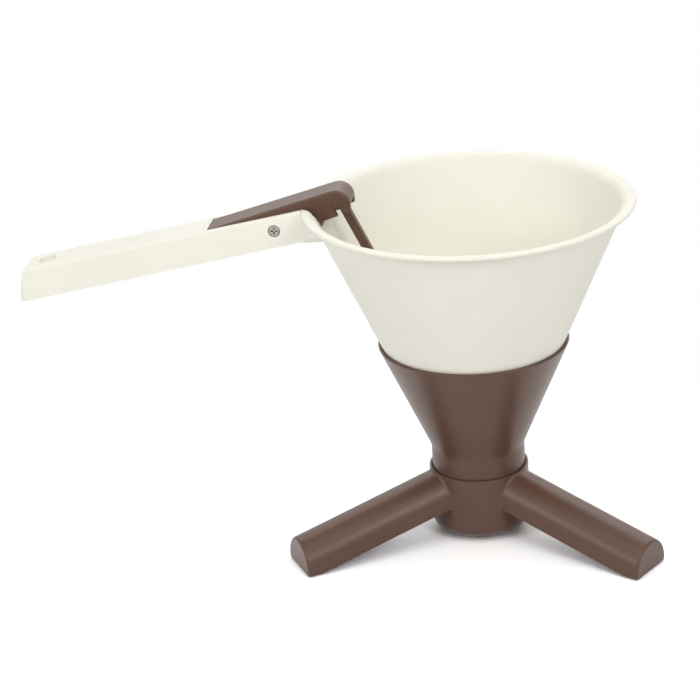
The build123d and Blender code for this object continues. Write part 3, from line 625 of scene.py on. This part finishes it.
@dataclass
class ReturnSpring:
    """The torsion spring round the pivot: one leg lies on the cross bar, the other goes with the lever.

    The upper leg runs on inside the coil's first turn, a little thinner, so that no gap opens as it turns.
    """

    coil_radius: float = 3.4 * MM
    wire_radius: float = 0.5 * MM
    pitch: float = 1.6 * MM
    upper_turn: float = -6.455
    lower_turn: float = 1245.516
    leg: float = 19.0 * MM
    hidden_arc: float = 24.0
    hidden_share: float = 0.96
    wire_sides: int = 16
    steps_per_turn: int = 60
    least_steps: int = 4
    tip_edge: float = 0.15 * MM

    def way(self, turn: float) -> Vector:
        """Direction of the wire after this turn, in degrees from the coil's top."""
        angle = math.radians(turn)
        round_way = math.tau * self.coil_radius
        return Vector((round_way * math.cos(angle), self.pitch, -round_way * math.sin(angle))).normalized()

    def ring(self, mesh: bmesh.types.BMesh, turn: float, radius: float) -> list[bmesh.types.BMEdge]:
        """Puts a ring of the wire's section on the coil.

        Args:
            mesh: The mesh that it goes into.
            turn: Where it is, in degrees from the coil's top.
            radius: The ring's radius.

        Returns:
            The ring's edges.
        """
        angle = math.radians(turn)
        middle = (self.upper_turn + self.lower_turn) / 2
        place = PIVOT + Vector((
            self.coil_radius * math.sin(angle),
            self.pitch * (turn - middle) / FULL_TURN,
            self.coil_radius * math.cos(angle),
        ))
        facing = self.way(turn).to_track_quat("Z", "Y").to_matrix().to_4x4()
        made = bmesh.ops.create_circle(
            mesh, radius=radius, segments=self.wire_sides, matrix=Matrix.Translation(place) @ facing
        )
        return list({edge for vert in made["verts"] for edge in vert.link_edges})

    def wind(
        self, mesh: bmesh.types.BMesh, ring: list[bmesh.types.BMEdge], arc: float
    ) -> list[bmesh.types.BMEdge]:
        """Winds a ring round the pivot.

        Args:
            mesh: The mesh that holds the ring.
            ring: The ring's edges.
            arc: How far it goes, in degrees.

        Returns:
            The edges of the last ring.
        """
        steps = max(self.least_steps, round(self.steps_per_turn * arc / FULL_TURN))
        verts = list({vert for edge in ring for vert in edge.verts})
        wound = bmesh.ops.spin(
            mesh,
            geom=verts + ring,
            cent=PIVOT,
            axis=(0.0, 1.0, 0.0),
            dvec=(0.0, self.pitch * arc / FULL_TURN / steps, 0.0),
            angle=math.radians(arc),
            steps=steps,
        )
        return [part for part in wound["geom_last"] if isinstance(part, bmesh.types.BMEdge)]

    def draw_out(self, mesh: bmesh.types.BMesh, ring: list[bmesh.types.BMEdge], way: Vector) -> None:
        """Draws a ring out into a straight leg with a dressed tip.

        Args:
            mesh: The mesh that holds the ring.
            ring: The ring's edges.
            way: The leg's direction.
        """
        drawn = bmesh.ops.extrude_edge_only(mesh, edges=ring)
        tip_verts = [part for part in drawn["geom"] if isinstance(part, bmesh.types.BMVert)]
        bmesh.ops.translate(mesh, verts=tip_verts, vec=way * self.leg)
        tip = [edge for edge in mesh.edges if all(vert in tip_verts for vert in edge.verts)]
        self.close(mesh, tip)

    def close(self, mesh: bmesh.types.BMesh, ring: list[bmesh.types.BMEdge]) -> None:
        """Closes the wire's end with a face and takes off its sharp edge."""
        bmesh.ops.contextual_create(mesh, geom=ring)
        round_off(mesh, ring, self.tip_edge)

    def build(self, shelf: FinishShelf) -> None:
        """Makes the coil and both legs.

        Args:
            shelf: Where the finishes are.
        """
        mesh = bmesh.new()
        first = self.ring(mesh, self.upper_turn, self.wire_radius)
        last = self.wind(mesh, first, self.lower_turn - self.upper_turn)
        self.draw_out(mesh, last, self.way(self.lower_turn))
        bmesh.ops.contextual_create(mesh, geom=[edge for edge in mesh.edges if edge.is_boundary])
        coil = settle("spring_coil", mesh, Body.FUNNEL, Slot.STEEL, shelf)
        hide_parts("return_spring")
        mesh = bmesh.new()
        first = self.ring(mesh, self.upper_turn, self.wire_radius * self.hidden_share)
        self.wind(mesh, first, self.hidden_arc)
        start = self.ring(mesh, self.upper_turn, self.wire_radius)
        self.draw_out(mesh, start, -self.way(self.upper_turn))
        leg = settle("spring_upper_leg", mesh, Body.LEVER, Slot.STEEL, shelf)
        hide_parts("return_spring")


@dataclass
class Lever:
    """The thumb lever."""

    def dress(self, shelf: FinishShelf) -> None:
        """Finishes the lever."""
        dress_node("lever", Slot.BROWN, shelf)


@dataclass
class Stopper:
    """The stopper's rod and plug."""

    def dress(self, shelf: FinishShelf) -> None:
        """Finishes the rod and the plug."""
        dress_node("stopper_rod", Slot.BROWN, shelf)
        dress_node("stopper_plug", Slot.SILICONE, shelf)


@dataclass(frozen=True)
class SoftBox:
    """A soft studio lamp."""

    name: str
    place: tuple[float, float, float]
    aim: tuple[float, float, float]
    size: tuple[float, float]
    power: float

    def hang(self) -> None:
        """Hangs the lamp and turns it to its aim."""
        lamp = bpy.data.lights.new(self.name, "AREA")
        lamp.shape = "RECTANGLE"
        lamp.size, lamp.size_y = self.size
        lamp.energy = self.power
        holder = bpy.data.objects.new(self.name, lamp)
        holder.location = self.place
        beam = Vector(self.aim) - Vector(self.place)
        holder.rotation_euler = beam.to_track_quat("-Z", "Y").to_euler()
        bpy.context.scene.collection.objects.link(holder)


@dataclass
class Studio:
    """The pale floor, the light and the camera."""

    lamps: tuple[SoftBox, ...] = (
        SoftBox("back_lamp", place=(0.06, 1.0, 1.12), aim=(0.0, 0.0, 0.05), size=(1.6, 1.2), power=9.4),
        SoftBox("front_lamp", place=(0.15, -0.84, 1.46), aim=(0.0, 0.0, 0.1), size=(2.0, 2.0), power=12.2),
        SoftBox("left_lamp", place=(-0.89, -0.75, 0.61), aim=(0.0, 0.0, 0.05), size=(0.5, 0.5), power=3.4),
        SoftBox("right_lamp", place=(0.67, -0.84, 0.76), aim=(0.0, 0.0, 0.05), size=(0.5, 0.5), power=3.3),
    )
    sky: float = 0.33
    floor_reach: float = 4.0
    floor_colour: Colour = (0.84, 0.84, 0.84, 1.0)
    floor_seen: Colour = (1.45, 1.45, 1.45, 1.0)
    fade_from: float = 0.11
    fade_to: float = 0.22
    camera_place: tuple[float, float, float] = (0.1005125, -1.0077041, 0.5119326)
    camera_azimuth: float = 9.13
    camera_elevation: float = 22.2062
    camera_roll: float = 3.7924
    lens: float = 114.7076
    sensor: float = 36.0
    sight: float = 20.0

    def seen_rays(self, nodes: bpy.types.Nodes, links: bpy.types.NodeLinks) -> Socket:
        """Tells the rays that show the background from those that light the object.

        Args:
            nodes: The tree's nodes.
            links: The tree's links.

        Returns:
            1 for what is seen straight, in gloss or through glass.
        """
        path = nodes.new("ShaderNodeLightPath")
        value = path.outputs["Is Camera Ray"]
        for other in ("Is Glossy Ray", "Is Transmission Ray"):
            larger = nodes.new("ShaderNodeMath")
            larger.operation = "MAXIMUM"
            links.new(value, larger.inputs[0])
            links.new(path.outputs[other], larger.inputs[1])
            value = larger.outputs["Value"]
        return value

    def light(self) -> None:
        """Sets the white surround and hangs the lamps."""
        world = bpy.data.worlds.new("white_surround")
        bpy.context.scene.world = world
        world.use_nodes = True
        nodes, links = world.node_tree.nodes, world.node_tree.links
        seen = self.seen_rays(nodes, links)
        strength = nodes.new("ShaderNodeMapRange")
        strength.inputs["To Min"].default_value = self.sky
        strength.inputs["To Max"].default_value = 1.0
        links.new(seen, strength.inputs["Value"])
        background = nodes["Background"]
        background.inputs["Color"].default_value = WHITE
        links.new(strength.outputs["Result"], background.inputs["Strength"])
        for lamp in self.lamps:
            lamp.hang()

    def floor_finish(self) -> bpy.types.Material:
        """Makes the pale floor's material, which keeps the shadow and goes over into the white surround.

        Returns:
            The material.
        """
        material = bpy.data.materials.new("pale_floor")
        material.use_nodes = True
        nodes, links = material.node_tree.nodes, material.node_tree.links
        nodes.remove(nodes["Principled BSDF"])
        seen = self.seen_rays(nodes, links)
        tint = nodes.new("ShaderNodeMix")
        tint.data_type = "RGBA"
        tint.inputs[MIX_FIRST_COLOUR].default_value = self.floor_colour
        tint.inputs[MIX_SECOND_COLOUR].default_value = self.floor_seen
        links.new(seen, tint.inputs["Factor"])
        matt = nodes.new("ShaderNodeBsdfDiffuse")
        links.new(tint.outputs[MIX_COLOUR_OUT], matt.inputs["Color"])
        white = nodes.new("ShaderNodeEmission")
        white.inputs["Color"].default_value = WHITE
        place = nodes.new("ShaderNodeTexCoord")
        reach = nodes.new("ShaderNodeVectorMath")
        reach.operation = "LENGTH"
        links.new(place.outputs["Object"], reach.inputs[0])
        fade = nodes.new("ShaderNodeMapRange")
        fade.interpolation_type = "SMOOTHSTEP"
        fade.inputs["From Min"].default_value = self.fade_from
        fade.inputs["From Max"].default_value = self.fade_to
        links.new(reach.outputs["Value"], fade.inputs["Value"])
        share = nodes.new("ShaderNodeMath")
        share.operation = "MULTIPLY"
        links.new(fade.outputs["Result"], share.inputs[0])
        links.new(seen, share.inputs[1])
        mix = nodes.new("ShaderNodeMixShader")
        links.new(share.outputs["Value"], mix.inputs["Fac"])
        links.new(matt.outputs["BSDF"], mix.inputs[1])
        links.new(white.outputs["Emission"], mix.inputs[2])
        links.new(mix.outputs["Shader"], nodes["Material Output"].inputs["Surface"])
        return material

    def lay_floor(self) -> None:
        """Lays the floor under the object."""
        mesh = bmesh.new()
        bmesh.ops.create_grid(mesh, x_segments=1, y_segments=1, size=self.floor_reach)
        data = bpy.data.meshes.new("floor")
        mesh.to_mesh(data)
        mesh.free()
        data.materials.append(self.floor_finish())
        floor = bpy.data.objects.new("floor", data)
        bpy.context.scene.collection.objects.link(floor)

    def aim_camera(self) -> None:
        """Puts the camera at the picture's viewpoint."""
        scene = bpy.context.scene
        scene.view_settings.view_transform = "Standard"
        turn, rise = math.radians(self.camera_azimuth), math.radians(self.camera_elevation)
        flat = math.cos(rise)
        back = Vector((math.sin(turn) * flat, -math.cos(turn) * flat, math.sin(rise)))
        right = Vector((math.cos(turn), math.sin(turn), 0.0))
        level = Matrix((right, back.cross(right), back)).transposed().to_4x4()
        tilt = Matrix.Rotation(math.radians(-self.camera_roll), 4, "Z")
        data = bpy.data.cameras.new("camera")
        data.sensor_fit = "HORIZONTAL"
        data.sensor_width = self.sensor
        data.lens = self.lens
        data.clip_end = self.sight
        camera = bpy.data.objects.new("camera", data)
        camera.matrix_world = Matrix.Translation(self.camera_place) @ level @ tilt
        scene.collection.objects.link(camera)
        scene.camera = camera

    def build(self) -> None:
        """Sets up floor, light and camera."""
        self.lay_floor()
        self.light()
        self.aim_camera()
        log.info("studio is set")


def main() -> None:
    """Builds and dresses every sub-assembly, then the studio."""
    logging.basicConfig(level=logging.INFO, format="%(name)s: %(message)s")
    shelf = FinishShelf()
    stand, funnel = Stand(), Funnel()
    stand.build(shelf)
    stand.dress(shelf)
    Nozzle().dress(shelf)
    funnel.build(shelf)
    funnel.dress(shelf)
    ReturnSpring().build(shelf)
    Lever().dress(shelf)
    Stopper().dress(shelf)
    Studio().build()


if __name__ == "__main__":
    main()
